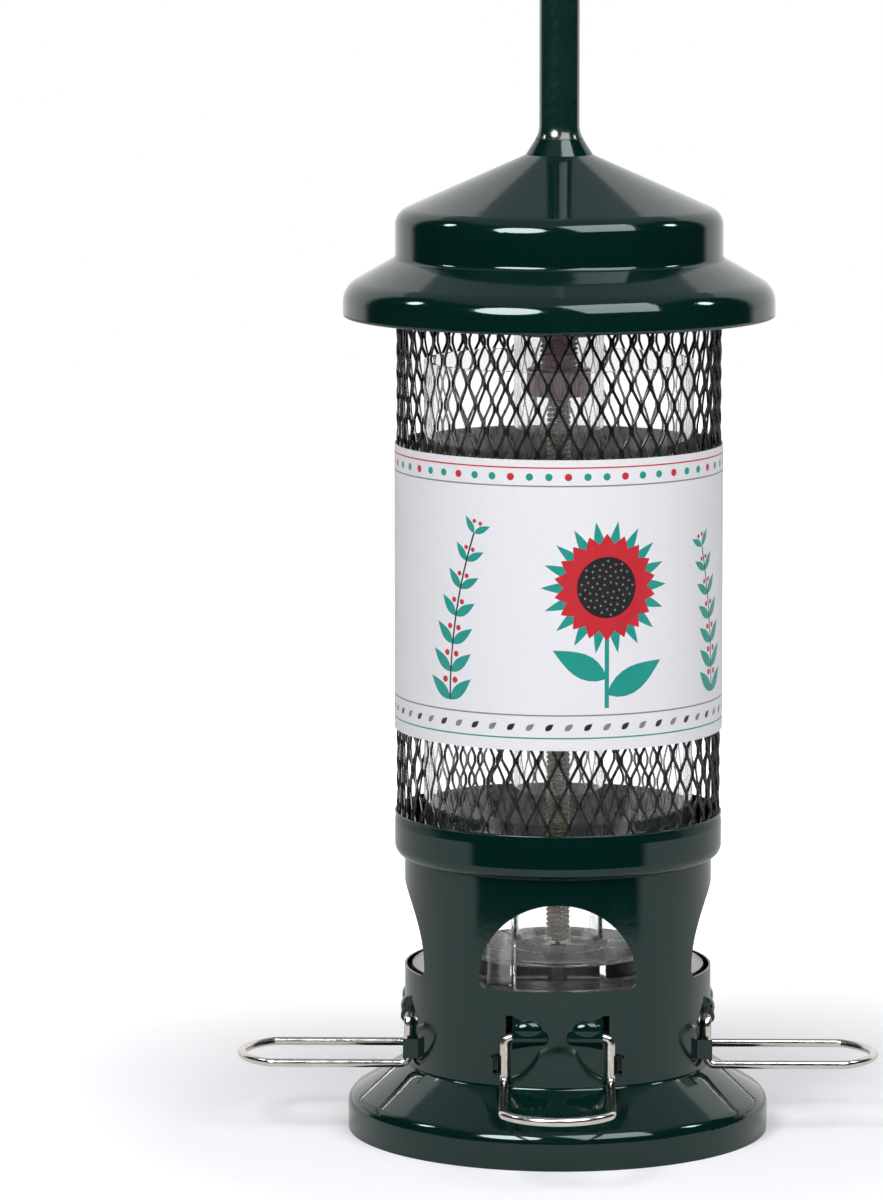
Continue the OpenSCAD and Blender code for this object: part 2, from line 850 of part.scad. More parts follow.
// Tube along a path, with faces of three sides
module swept_tube(path, r, sides) {
  n = len(path);
  points = [for (i = [0:n - 1]) each ring_points(path, i, r, sides)];
  walls = [for (i = [0:n - 2], k = [0:sides - 1])
    let (a = i * sides + k,
         b = i * sides + (k + 1) % sides)
    each [[a, a + sides, b], [b, a + sides, b + sides]]];
  low_cap = [for (k = [1:sides - 2]) [0, k, k + 1]];
  last = (n - 1) * sides;
  high_cap = [for (k = [1:sides - 2]) [last, last + k + 1, last + k]];
  polyhedron(points = points, faces = concat(walls, low_cap, high_cap));
}

// Least clear distance between parts of the spring that lie up to three curls apart
spring_gaps = [for (i = [0:len(spring_path) - 1])
  for (j = [i + 5:1:min(i + 3 * curl_rings, len(spring_path) - 1)])
    norm(place(spring_path[i]) - place(spring_path[j])) - spring_wire_d];
echo(spring_least_gap = min(spring_gaps), spring_pitch = spring_pitch);

module spring() {
  color("#6f5a45")
    swept_tube(spring_path, spring_wire_d / 2, spring_sides);
}

module spring_adjuster() {
  color("#5a0f1d") {
    wire_rod(grip_r, grip_z, grip_top);
    wire_rod(stem_r, grip_top - eps, stem_top);
  }
}

module spring_anchor() {
  color("#3d3a36") {
    wire_rod(anchor_r, anchor_end, anchor_top - anchor_head_h + eps);
    wire_rod(anchor_head_r, anchor_top - anchor_head_h, anchor_top);
  }
}

module anchor_washer() {
  color("#9a9a98")
    ring(washer_r, anchor_r + pivot_fit, shell_z - washer_t, shell_z);
}

module anchor_nut() {
  nut_top = shell_z - washer_t;
  color("#9a9a98")
    difference() {
      translate([0, 0, nut_top - nut_h])
        cylinder(h = nut_h, r = nut_w / 2 / cos(30), $fn = 6);
      wire_rod(anchor_r + pivot_fit, nut_top - nut_h - 1, nut_top + 1);
    }
}

// Crown, cone and neck of the roof in section, drawn t inside the outer surface
module crown_section(t) {
  c = [crown_bend_x, crown_bend_z];
  n = [sin(cone_tilt), cos(cone_tilt)];
  r = crown_round - t;
  drop = t / cos(cone_tilt);
  translate(c)
    circle(r);
  polygon([[0, crown_z - crown_r], [crown_r - t, crown_z - crown_r], [crown_r - t, c[1]], c, c + r * n,
           [neck_foot_r, neck_z - drop], [0, neck_z - drop]]);
}

// What the round takes off the brim's lower outer edge, in section
module brim_edge_section() {
  c = [brim_r - brim_edge_r, brim_z + brim_edge_r];
  difference() {
    polygon([[c[0], brim_z - 1], [brim_r + 1, brim_z - 1], [brim_r + 1, c[1]], c]);
    translate(c)
      circle(brim_edge_r);
  }
}

module roof() {
  color("#12302a")
    difference() {
      rotate_extrude() {
        difference() {
          rim_section(brim_r, brim_z, brim_side_h, brim_round, [crown_r, crown_z], roof_wall);
          brim_edge_section();
        }
        difference() {
          union() {
            intersection() {
              crown_section(0);
              translate([0, crown_foot])
                square([crown_r, far]);
            }
            polygon([[0, neck_z - 1], [neck_foot_r, neck_z - 1], [neck_foot_r, neck_z],
                     [neck_top_r, neck_top], [0, neck_top]]);
          }
          crown_section(roof_wall);
        }
      }
      wire_rod(spigot_r + joint_fit, crown_z, neck_top + 1);
    }
}

// Ring glued inside the crown, which sits on the hem and centres the roof in the cage
module roof_ring() {
  glued_r = crown_in - joint_fit;
  glued_h = 3;
  color("#1b1f1e")
    rotate_extrude()
      polygon([[ring_in, seat_z - ring_depth], [ring_out, seat_z - ring_depth], [ring_out, seat_z],
               [mesh_out, seat_z], [mesh_out, seat_z + shelf_t], [glued_r, seat_z + shelf_t + near_gap],
               [glued_r, crown_z + glued_h], [ring_in, crown_z + glued_h]]);
}

module hanger_sleeve() {
  flare_w = sleeve_foot_r - sleeve_r;
  flare_r = (pow(flare_w, 2) + pow(sleeve_flare_h, 2)) / (2 * flare_w);
  tip = 1.2;
  color("#14382f")
    rotate_extrude()
      difference() {
        union() {
          translate([0, sleeve_z - spigot_h])
            square([spigot_r, spigot_h + 1]);
          translate([0, sleeve_z])
            square([sleeve_r, sleeve_h - tip]);
          translate([0, sleeve_z])
            square([sleeve_r - tip, sleeve_h]);
          translate([sleeve_r - tip, sleeve_top - tip])
            circle(tip);
          difference() {
            translate([0, sleeve_z])
              square([sleeve_foot_r, sleeve_flare_h]);
            translate([sleeve_r + flare_r, sleeve_z + sleeve_flare_h])
              circle(flare_r);
          }
        }
        translate([-1, sleeve_z - spigot_h - 1])
          square([sleeve_bore_r + 1, far]);
      }
}

// One half of the hanger wire, from its foot in the plug to the top of the loop
module hanger_half() {
  bend = foot_bend_r;
  translate([0, 0, foot_z])
    rotate([0, 90, 0])
      wire_rod(wire_r, leg_off + bend, leg_off + hanger_foot);
  translate([leg_off + bend, 0, foot_z + bend])
    rotate([90, 0, 0])
      rotate([0, 0, 180])
        wire_arc(wire_r, bend, 90);
  translate([leg_off, 0, 0])
    wire_rod(wire_r, foot_z + bend, leg_top);
  translate([leg_off + loop_blend_r, 0, leg_top])
    rotate([90, 0, 0])
      mirror([1, 0, 0])
        wire_arc(wire_r, loop_blend_r, blend_tilt);
  translate([0, 0, loop_z])
    rotate([90, 0, 0]) {
      rotate([0, 0, 90])
        mirror([0, 1, 0])
          wire_arc(wire_r, loop_r, 90 + blend_tilt);
      wire_seam(wire_r, loop_r, -blend_tilt);
    }
}

module hanger_wire() {
  color("#8c8c8a") {
    hanger_half();
    mirror([1, 0, 0])
      hanger_half();
  }
}

base_skirt();
base_floor();
port_shell();
mesh_cage();
mesh_hem();
label_sleeve();
perch_front();
perch_right();
perch_back();
perch_left();
seed_tube();
seed_tray();
centre_tube();
tube_plug();
spring();
spring_adjuster();
spring_anchor();
anchor_washer();
anchor_nut();
roof();
roof_ring();
hanger_sleeve();
hanger_wire();
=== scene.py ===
import math

import bmesh
import bpy
import numpy as np
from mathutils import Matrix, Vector, geometry


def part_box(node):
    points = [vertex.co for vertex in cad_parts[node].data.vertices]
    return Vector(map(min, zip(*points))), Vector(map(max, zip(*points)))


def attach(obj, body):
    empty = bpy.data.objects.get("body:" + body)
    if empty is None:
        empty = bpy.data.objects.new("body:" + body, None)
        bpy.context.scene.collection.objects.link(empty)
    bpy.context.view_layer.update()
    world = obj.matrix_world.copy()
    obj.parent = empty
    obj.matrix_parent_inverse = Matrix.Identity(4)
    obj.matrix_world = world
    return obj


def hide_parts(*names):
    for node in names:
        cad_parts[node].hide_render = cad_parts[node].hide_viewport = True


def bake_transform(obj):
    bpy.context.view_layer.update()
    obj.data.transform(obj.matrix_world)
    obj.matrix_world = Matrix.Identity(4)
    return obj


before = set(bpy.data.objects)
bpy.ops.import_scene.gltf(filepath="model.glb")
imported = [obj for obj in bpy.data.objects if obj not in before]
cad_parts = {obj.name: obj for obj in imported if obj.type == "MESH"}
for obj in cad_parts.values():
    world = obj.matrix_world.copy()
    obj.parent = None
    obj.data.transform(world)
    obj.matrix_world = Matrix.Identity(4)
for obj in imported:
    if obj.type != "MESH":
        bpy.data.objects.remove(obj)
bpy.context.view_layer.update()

MM = 0.001
TAU = 2 * math.pi

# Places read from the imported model, in metres
MESH_LOW, MESH_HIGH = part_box("mesh_cage")
CARD_LOW, CARD_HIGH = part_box("label_sleeve")
GRIP_LOW, GRIP_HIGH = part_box("spring_adjuster")
SPRING_LOW, SPRING_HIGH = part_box("spring")
ROOF_LOW, ROOF_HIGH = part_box("roof")
_, BASE_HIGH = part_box("base_skirt")
_, SHELL_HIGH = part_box("port_shell")

# Profile of the roof, the shell and the skirt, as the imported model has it, with slopes in degrees
BRIM_OUT = 16.2 * MM
BRIM_H = 18.4 * MM
BRIM_TILT = 30.0
ROOF_NECK_R = 7.35 * MM
SHELL_R = 48 * MM
SKIRT_TILT = 31.59

# Camera: a long lens a little above the roof, fitted to the photograph's frame, with angles in degrees
LENS_MM = 183.52
SHIFT_Y = -0.15
CLIP = (0.05, 50)
CAMERA_AT = (0.0, -1.8933, 0.426)
CAMERA_YAW = 1.105
CAMERA_DOWN = 6.117


def make_camera():
    data = bpy.data.cameras.new("camera")
    data.lens = LENS_MM
    data.shift_y = SHIFT_Y
    data.clip_start, data.clip_end = CLIP
    camera = bpy.data.objects.new("camera", data)
    camera.location = CAMERA_AT
    camera.rotation_euler = (math.radians(90 - CAMERA_DOWN), 0, math.radians(CAMERA_YAW))
    bpy.context.scene.collection.objects.link(camera)
    bpy.context.scene.camera = camera


# Range that most of a noise's values lie in, and a higher one for streaks
NOISE_RANGE = (0.3, 0.7)
STREAK_RANGE = (0.35, 0.75)


class Shader:
    """One material: its node tree and its principled shader."""

    def __init__(self, name, **constants):
        self.mat = bpy.data.materials.new(name)
        self.mat.use_nodes = True
        self.tree = self.mat.node_tree
        self.bsdf = self.tree.nodes["Principled BSDF"]
        for socket, value in constants.items():
            self.bsdf.inputs[socket.replace("_", " ")].default_value = value
        self.place = self.add("ShaderNodeTexCoord").outputs["Object"]

    def add(self, kind, **settings):
        node = self.tree.nodes.new(kind)
        for key, value in settings.items():
            setattr(node, key, value)
        return node

    def link(self, output, target):
        self.tree.links.new(output, target)

    def drive(self, socket, output):
        self.link(output, self.bsdf.inputs[socket])

    def stretched(self, scale):
        mapping = self.add("ShaderNodeMapping")
        mapping.inputs["Scale"].default_value = scale
        self.link(self.place, mapping.inputs["Vector"])
        return mapping.outputs["Vector"]

    def noise(self, scale, detail=2.0, rough=0.5, stretch=(1, 1, 1)):
        """Noise of about so many grains to the metre, in so many octaves."""
        node = self.add("ShaderNodeTexNoise")
        node.inputs["Scale"].default_value = scale
        node.inputs["Detail"].default_value = detail
        node.inputs["Roughness"].default_value = rough
        self.link(self.stretched(stretch), node.inputs["Vector"])
        return node.outputs["Fac"]

    def span(self, value, low, high, out_low, out_high):
        """A value moved from one range to another."""
        node = self.add("ShaderNodeMapRange")
        sockets = ("From Min", "From Max", "To Min", "To Max")
        for socket, number in zip(sockets, (low, high, out_low, out_high)):
            node.inputs[socket].default_value = number
        self.link(value, node.inputs["Value"])
        return node.outputs["Result"]

    def uneven(self, noise, low, spread):
        """A value from low to low plus spread that follows a noise."""
        return self.span(noise, *NOISE_RANGE, low, low + spread)

    def mix(self, share, first, second):
        return colour_mix(self.tree, share, (*first, 1), (*second, 1))

    def blend(self, share, first, second):
        node = self.add("ShaderNodeMix", data_type="FLOAT")
        self.link(share, node.inputs["Factor"])
        self.link(first, node.inputs["A"])
        self.link(second, node.inputs["B"])
        return node.outputs["Result"]

    def bump(self, height, distance):
        """Adds a bump on top of those that the material has."""
        node = self.add("ShaderNodeBump")
        node.inputs["Distance"].default_value = distance
        self.link(height, node.inputs["Height"])
        if self.bsdf.inputs["Normal"].is_linked:
            self.link(self.bsdf.inputs["Normal"].links[0].from_socket, node.inputs["Normal"])
        self.drive("Normal", node.outputs["Normal"])


def linear(*rgb):
    """A colour written as 0 to 255 display values, as the linear values that Blender takes."""
    return tuple((v / 255 / 12.92) if v <= 10 else ((v / 255 + 0.055) / 1.055) ** 2.4 for v in rgb)


def ray_share(tree, *rays):
    """1 for the kinds of ray that are named, and 0 for the rest."""
    path = tree.nodes.new("ShaderNodeLightPath")
    total = path.outputs[rays[0]]
    for ray in rays[1:]:
        total = arithmetic(tree, "MAXIMUM", total, path.outputs[ray])
    return total


def ramp(tree, value, stops):
    """A brightness read from stops of place and value."""
    node = tree.nodes.new("ShaderNodeValToRGB")
    elements = node.color_ramp.elements
    while len(elements) < len(stops):
        elements.new(0.5)
    for element, (at, level) in zip(elements, stops):
        element.position = at
        element.color = (level, level, level, 1)
    tree.links.new(value, node.inputs["Fac"])
    return node.outputs["Color"]


def arithmetic(tree, operation, *terms):
    node = tree.nodes.new("ShaderNodeMath")
    node.operation = operation
    for socket, term in zip(node.inputs, terms):
        if isinstance(term, (int, float)):
            socket.default_value = term
        else:
            tree.links.new(term, socket)
    return node.outputs[0]


def step_between(tree, value, low, high):
    """0 up to low and 1 from high on, with a smooth rise between them."""
    node = tree.nodes.new("ShaderNodeMapRange")
    node.interpolation_type = "SMOOTHSTEP"
    node.inputs["From Min"].default_value = low
    node.inputs["From Max"].default_value = high
    tree.links.new(value, node.inputs["Value"])
    return node.outputs["Result"]


def turn_share(tree, x, y):
    """The turn from the front, either way, as a share of a half turn."""
    turn = arithmetic(tree, "ARCTAN2", x, arithmetic(tree, "MULTIPLY", y, -1))
    return arithmetic(tree, "DIVIDE", arithmetic(tree, "ABSOLUTE", turn), math.pi)


def colour_mix(tree, share, first, second):
    """The first colour turning into the second by a share; each is a colour or a node's output."""
    node = tree.nodes.new("ShaderNodeMix")
    node.data_type = "RGBA"
    tree.links.new(share, node.inputs["Factor"])
    for socket, term in (("A", first), ("B", second)):
        if isinstance(term, tuple):
            node.inputs[socket].default_value = term
        else:
            tree.links.new(term, node.inputs[socket])
    return node.outputs["Result"]


def gloss_paint(name, dark, light, rough):
    """Gloss paint with a faint orange peel."""
    s = Shader(name, IOR=1.5, Specular_Tint=(0.86, 1.0, 0.99, 1))
    clouds = s.noise(28, detail=3)
    wear = s.noise(90, detail=4, rough=0.6)
    peel = s.noise(420, detail=1)
    grain = s.noise(3200, detail=2, rough=0.6)
    s.drive("Base Color", s.mix(clouds, dark, light))
    s.drive("Roughness", s.uneven(wear, rough, spread=0.05))
    s.bump(peel, 0.01 * MM)
    s.bump(grain, 0.002 * MM)
    return s.mat


def mesh_paint():
    """Thick paint on the cut edges of the cage."""
    s = Shader("strand_paint", Coat_Weight=0.25, Coat_Roughness=0.1)
    clouds = s.noise(420, detail=3)
    wear = s.noise(900, detail=3)
    grain = s.noise(1500, detail=3, rough=0.6)
    s.drive("Base Color", s.mix(clouds, linear(8, 15, 14), linear(17, 28, 26)))
    s.drive("Roughness", s.uneven(wear, 0.18, spread=0.2))
    s.bump(grain, 0.04 * MM)
    return s.mat


def bright_wire(name, dark, light, rough):
    """Bare metal with slight stains."""
    s = Shader(name, Metallic=1.0)
    stains = s.noise(160, detail=4, rough=0.6)
    wear = s.noise(700, detail=3, rough=0.6)
    grain = s.noise(1900, detail=3, rough=0.6)
    s.drive("Base Color", s.mix(stains, dark, light))
    s.drive("Roughness", s.uneven(wear, rough, spread=0.14))
    s.bump(grain, 0.01 * MM)
    return s.mat


def clear_plastic(name, tint, rough):
    """Clear plastic with faint upright streaks, from its drawing."""
    s = Shader(name, Transmission_Weight=0.98, IOR=1.49)
    clouds = s.noise(60, stretch=(1, 1, 0.08))
    streaks = s.noise(240, detail=3, rough=0.6, stretch=(1, 1, 0.05))
    waves = s.noise(90, detail=1, stretch=(1, 1, 0.02))
    s.drive("Base Color", s.mix(clouds, tint, (0.985, 0.985, 0.985)))
    s.drive("Roughness", s.span(streaks, *STREAK_RANGE, 0.0, rough))
    s.bump(waves, 0.001 * MM)
    return s.mat


# Rim of the tray's raised middle, which is frosted on top, and what passes through the two parts
TRAY_FROST_R = 31 * MM
TRAY_FROST_Z = 57.2 * MM
TRAY_FROST_EDGE = 0.3 * MM
TRAY_CLEAR = 0.98
TRAY_FROSTED = 0.62


def tray_plastic():
    """Clear at the rim and on the tongues, and frosted on the raised middle."""
    s = Shader("tray_plastic", IOR=1.22)
    split = s.add("ShaderNodeSeparateXYZ")
    s.link(s.place, split.inputs[0])
    flat = s.add("ShaderNodeCombineXYZ")
    s.link(split.outputs["X"], flat.inputs["X"])
    s.link(split.outputs["Y"], flat.inputs["Y"])
    reach = s.add("ShaderNodeVectorMath", operation="LENGTH")
    s.link(flat.outputs["Vector"], reach.inputs[0])
    inner = s.span(reach.outputs["Value"], TRAY_FROST_R, TRAY_FROST_R + TRAY_FROST_EDGE, 1.0, 0.0)
    above = s.span(split.outputs["Z"], TRAY_FROST_Z, TRAY_FROST_Z + TRAY_FROST_EDGE, 0.0, 1.0)
    frost = arithmetic(s.tree, "MULTIPLY", inner, above)
    streaks = s.noise(150, detail=3, rough=0.6, stretch=(1, 1, 0.04))
    grain = s.noise(300, detail=3)
    ripple = s.noise(260)
    s.drive("Transmission Weight", s.span(frost, 0, 1, TRAY_CLEAR, TRAY_FROSTED))
    s.drive("Base Color", s.mix(streaks, (0.84, 0.84, 0.84), (0.97, 0.97, 0.97)))
    clear = s.span(streaks, *STREAK_RANGE, 0.0, 0.08)
    s.drive("Roughness", s.blend(frost, clear, s.uneven(grain, 0.22, spread=0.2)))
    s.bump(ripple, 0.02 * MM)
    return s.mat


def moulded(name, dark, light, rough, coat=0.0):
    """Moulded plastic."""
    s = Shader(name, Coat_Weight=coat, Coat_Roughness=0.05)
    clouds = s.noise(120, detail=3)
    wear = s.noise(600, detail=3)
    grain = s.noise(1800, detail=3)
    s.drive("Base Color", s.mix(clouds, dark, light))
    s.drive("Roughness", s.uneven(wear, rough, spread=0.15))
    s.bump(grain, 0.02 * MM)
    return s.mat


# What is left of a print's colour between the fibres of the card
FIBRE_SHADE = 0.93


def printed(name, colour, rough=0.32):
    """Card with a print on it, darker by a shade between its fibres."""
    s = Shader(name, Coat_Weight=0.25, Coat_Roughness=0.12)
    fibres = s.noise(900, detail=4, rough=0.7)
    wear = s.noise(500, detail=3)
    grain = s.noise(1400, detail=4, rough=0.7)
    s.drive("Base Color", s.mix(fibres, tuple(v * FIBRE_SHADE for v in colour), colour))
    s.drive("Roughness", s.uneven(wear, rough, spread=0.1))
    s.bump(grain, 0.012 * MM)
    return s.mat


GREEN = gloss_paint("green_paint", linear(2, 28, 24), linear(4, 34, 30), 0.05)
SLEEVE = moulded("sleeve_plastic", linear(6, 36, 31), linear(10, 44, 38), 0.12, 0.5)
STRAND = mesh_paint()
STEEL = bright_wire("perch_steel", linear(196, 190, 184), linear(228, 224, 218), 0.12)
ZINC = bright_wire("zinc_steel", linear(150, 150, 150), linear(190, 190, 192), 0.25)
BRONZE = bright_wire("spring_steel", linear(112, 92, 64), linear(158, 136, 100), 0.22)
CLEAR = clear_plastic("tube_plastic", (0.955, 0.957, 0.957), 0.003)
TRAY = tray_plastic()
# Near-black painted shade for the line where the hanger sleeve stands on the roof's neck
SHADE = moulded("gap_painted_shade", linear(2, 10, 9), linear(4, 14, 12), 0.5)
MAROON = moulded("maroon_plastic", linear(104, 5, 28), linear(122, 10, 38), 0.25, 0.2)
BLACK = moulded("black_plastic", linear(24, 26, 26), linear(36, 38, 38), 0.4)

NODE_MATERIALS = {
    "base_skirt": GREEN,
    "base_floor": BLACK,
    "port_shell": GREEN,
    "mesh_hem": STRAND,
    "perch_front": STEEL,
    "perch_right": STEEL,
    "perch_back": STEEL,
    "perch_left": STEEL,
    "seed_tube": CLEAR,
    "seed_tray": TRAY,
    "centre_tube": CLEAR,
    "tube_plug": BLACK,
    "spring_anchor": BRONZE,
    "anchor_washer": ZINC,
    "anchor_nut": ZINC,
    "roof": GREEN,
    "roof_ring": BLACK,
    "hanger_sleeve": SLEEVE,
    "hanger_wire": ZINC,
}


def dress_nodes():
    for node, material in NODE_MATERIALS.items():
        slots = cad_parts[node].data.materials
        slots.clear()
        slots.append(material)


# Points of a mesh that lie nearer than this become one
WELD = 1e-7


def piece(name, points, faces, materials, body, marks=None, sharp=40.0):
    """A mesh piece that rides on a body; marks gives each face its material's index."""
    data = bpy.data.meshes.new(name)
    data.from_pydata([tuple(p) for p in points], [], [tuple(f) for f in faces])
    for material in materials:
        data.materials.append(material)
    if marks is not None:
        data.polygons.foreach_set("material_index", np.array(marks, np.int32))
    tidy = bmesh.new()
    tidy.from_mesh(data)
    bmesh.ops.remove_doubles(tidy, verts=tidy.verts, dist=WELD)
    bmesh.ops.recalc_face_normals(tidy, faces=tidy.faces)
    tidy.to_mesh(data)
    tidy.free()
    data.polygons.foreach_set("use_smooth", [True] * len(data.polygons))
    data.set_sharp_from_angle(angle=math.radians(sharp))
    made = bpy.data.objects.new(name, data)
    bpy.context.scene.collection.objects.link(made)
    if body:
        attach(made, body)
    return made


def tube(rings, closed=False):
    """Points and faces of a tube through rings of equal length, capped at both ends unless it is closed."""
    rings = np.array(rings)
    n, sides, _ = rings.shape
    faces = []
    for i in range(n if closed else n - 1):
        a, b = i * sides, (i + 1) % n * sides
        for k in range(sides):
            j = (k + 1) % sides
            faces.append((a + k, a + j, b + j, b + k))
    if not closed:
        faces.append(tuple(range(sides))[::-1])
        faces.append(tuple(range((n - 1) * sides, n * sides)))
    return rings.reshape(-1, 3), faces


def lathe(profile, steps):
    """A closed outline of radius and height turned about the Z axis."""
    outline = np.array(profile, float)
    angles = np.arange(steps) * TAU / steps
    rings = [np.stack([outline[:, 0] * math.cos(a), outline[:, 0] * math.sin(a), outline[:, 1]], 1)
             for a in angles]
    return tube(rings, closed=True)


def joined(parts):
    """Points and faces of several meshes as one."""
    points, faces, base = [], [], 0
    for part_points, part_faces in parts:
        points.append(part_points)
        faces += [tuple(v + base for v in face) for face in part_faces]
        base += len(part_points)
    return np.concatenate(points), faces


# Expanded-metal cage: zigzag strands that meet their neighbours by turns, each twisted out of the sheet
CELLS = 48
HALF_CELL_H = 6.75 * MM
STRAND_W = 0.98 * MM
STRAND_T = 0.62 * MM
STRAND_TWIST = math.radians(32)
SHEET_T = 0.8 * MM
CAGE_R = MESH_HIGH.x - SHEET_T / 2
CORNER_CUT = 0.22
# Height of a bond, and where a strand has a cross-section from a bond's middle, in such heights
BOND_H = 1.9 * MM
SECTIONS_AT = (-0.62, -0.38, 0.38, 0.62, 2.2)


def strand_section():
    """A rectangle with cut corners, across and out of the sheet."""
    w, t, cut = STRAND_W / 2, STRAND_T / 2, CORNER_CUT * STRAND_T
    return np.array([(w, t - cut), (w - cut, t), (cut - w, t), (-w, t - cut),
                     (-w, cut - t), (cut - w, -t), (w - cut, -t), (w, cut - t)])


def strand_swing(z, phase):
    """Sideways place of a strand from -1 to 1: flat at the bonds and straight between them."""
    t = (z / HALF_CELL_H + phase) % 2
    t = 2 - t if t > 1 else t
    flat = BOND_H / 2 / HALF_CELL_H
    s = min(max((t - flat) / (1 - 2 * flat), 0), 1)
    return 1 - 2 * s


def strand(angle, phase):
    """One strand round the height of the cage; phase is 0 or 1, by turns."""
    half_pitch = math.pi * CAGE_R / CELLS
    swing = (half_pitch - STRAND_W * math.cos(STRAND_TWIST)) / 2
    lift = STRAND_W / 2 * math.sin(STRAND_TWIST)
    bonds = int((MESH_HIGH.z - MESH_LOW.z) / HALF_CELL_H) + 2
    knots = {MESH_LOW.z, MESH_HIGH.z}
    for i in range(-1, bonds):
        knots.update(MESH_LOW.z + i * HALF_CELL_H + offset * BOND_H for offset in SECTIONS_AT)
    section = strand_section()
    c, s = math.cos(STRAND_TWIST), math.sin(STRAND_TWIST)
    rings = []
    for z in sorted(z for z in knots if MESH_LOW.z <= z <= MESH_HIGH.z):
        side = strand_swing(z - MESH_LOW.z, phase)
        a = angle + side * swing / CAGE_R
        across = np.array([-math.sin(a), math.cos(a), 0])
        out = np.array([math.cos(a), math.sin(a), 0])
        middle = out * (CAGE_R + side * lift) + np.array([0, 0, z])
        u, v = c * across + s * out, c * out - s * across
        rings.append([middle + x * u + y * v for x, y in section])
    return tube(rings)


def make_cage():
    strands = 2 * CELLS
    points, faces = joined(strand((i + 0.5) * TAU / strands, i % 2) for i in range(strands))
    cage = piece("cage_strands", points, faces, [STRAND], "shroud", sharp=60)
    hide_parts("mesh_cage")


# Card sleeve: a pale card printed with leaves, a flower and seeds, and its inks by their places in the mesh
CARD_R = CARD_HIGH.x
CARD_T = 0.35 * MM
CARD_H = CARD_HIGH.z - CARD_LOW.z
CARD_W = TAU * CARD_R
CARD_COLUMNS = 128
CARD_ROWS = 16
PAPER, RED, TEAL, INK, GREY, BACK = range(6)

# The print's sizes are in millimetres, and its turns in radians.
# A leaf's belly lies nearer to its stalk as the power falls
LEAF_STEPS = 9
LEAF_POWER = 0.8

# Flower: rings of petals with their ink, length and width, round an eye of seeds
PETALS = 18
PETAL_START = 7.5
PETAL_RINGS = ((TEAL, 20.5, 6.2 * 0.55), (RED, 16.5, 5.6))
EYE_R = 9.4
EYE_SIDES = 40
SEEDS = 59
SEED_R = 0.36
SEED_SIDES = 8
SEED_STEP = 1.12
SEED_TURN = 2.39996

# Sprig: pairs of leaves that shrink up a bent stalk, each with a berry beside it
SPRIG_PAIRS = 7
SPRIG_LEAF = 10.5
SPRIG_SHRINK = 4.5
SPRIG_SLIM = 0.36
SPRIG_SPREAD = 0.85
BERRY_REACH = 0.62
BERRY_SPREAD = 0.3
BERRY_R = 1.0
BERRY_SHRINK = 0.35
BERRY_SIDES = 12
STALK_STEPS = 12
STALK_HALF = 0.3

# Borders: dots below the card's upper edge, slanted leaves above its lower one, and stripes beside both
BORDER_COUNT = 54
DOT_DOWN = 5.2
DOT_R = 1.15
DOT_SIDES = 14
SLANT_LEAF = (6.2, 3.3, 1.7, math.radians(38))
SLANT_BACK = 1.0
STRIPE_H = 0.45
STRIPE_END = 0.02
LOW_STRIPES = ((3.6, TEAL), (10.6, GREY))
HIGH_STRIPES = ((8.2, GREY), (2.6, RED))

# Design, printed in front and behind: places from its middle and heights from the card's lower edge.
# A stem's leaves have height, length, width and turn in degrees, and a sprig has place, height and lean
FLOWER_X = 15
FLOWER_Y = 50
STEM_HALF = 0.7
STEM_LOW = 13
STEM_HIGH = 40
STEM_LEAVES = ((17, 21, 8, 28), (22, 19, 7.5, 152))
SPRIG_FOOT = 14
SPRIGS = ((-36, 52, 9), (60, 46, -7))

# How near to the card's seam a print may come, and how far over it counts as crossing
SEAM_CLEAR = 0.3
SEAM_OVER = 0.1


def disc(x, y, r, sides):
    a = np.arange(sides) * TAU / sides
    return np.stack([x + r * np.cos(a), y + r * np.sin(a)], 1)


def leaf(x, y, length, width, turn):
    """A pointed leaf from its stalk at x, y towards the angle turn."""
    t = np.linspace(0, 1, LEAF_STEPS)
    bulge = width / 2 * np.sin(math.pi * t ** LEAF_POWER)
    along = np.concatenate([t, t[-2:0:-1]]) * length
    aside = np.concatenate([bulge, -bulge[-2:0:-1]])
    c, s = math.cos(turn), math.sin(turn)
    return np.stack([x + along * c - aside * s, y + along * s + aside * c], 1)


def bar(x0, y0, x1, y1):
    return np.array([(x0, y0), (x1, y0), (x1, y1), (x0, y1)], float)


def flower(x, y):
    shapes = []
    for ring, (ink, length, width) in enumerate(PETAL_RINGS):
        for i in range(PETALS):
            turn = (i + ring / 2) * TAU / PETALS
            px, py = x + PETAL_START * math.cos(turn), y + PETAL_START * math.sin(turn)
            shapes.append((ink, leaf(px, py, length - PETAL_START, width, turn)))
    shapes.append((INK, disc(x, y, EYE_R, EYE_SIDES)))
    for i in range(1, SEEDS + 1):
        r, a = SEED_STEP * math.sqrt(i), i * SEED_TURN
        shapes.append((GREY, disc(x + r * math.cos(a), y + r * math.sin(a), SEED_R, SEED_SIDES)))
    return shapes


def sprig(x, y, height, lean):
    shapes = []
    for i in range(SPRIG_PAIRS):
        t = i / (SPRIG_PAIRS - 1)
        sx, sy = x + lean * t * t, y + height * t
        turn = math.atan2(height, 2 * lean * t)
        size = SPRIG_LEAF - SPRIG_SHRINK * t
        reach = BERRY_REACH * size
        for side in (-1, 1):
            shapes.append((TEAL, leaf(sx, sy, size, SPRIG_SLIM * size, turn + side * SPRIG_SPREAD)))
            a = turn + side * BERRY_SPREAD
            bx, by = sx + reach * math.cos(a), sy + reach * math.sin(a)
            shapes.append((RED, disc(bx, by, BERRY_R - BERRY_SHRINK * t, BERRY_SIDES)))
    stalk = [(x + lean * t * t, y + height * t) for t in (i / STALK_STEPS for i in range(STALK_STEPS + 1))]
    for (x0, y0), (x1, y1) in zip(stalk, stalk[1:]):
        shapes.append((INK, np.array([(x0 - STALK_HALF, y0), (x0 + STALK_HALF, y0),
                                      (x1 + STALK_HALF, y1), (x1 - STALK_HALF, y1)])))
    return shapes


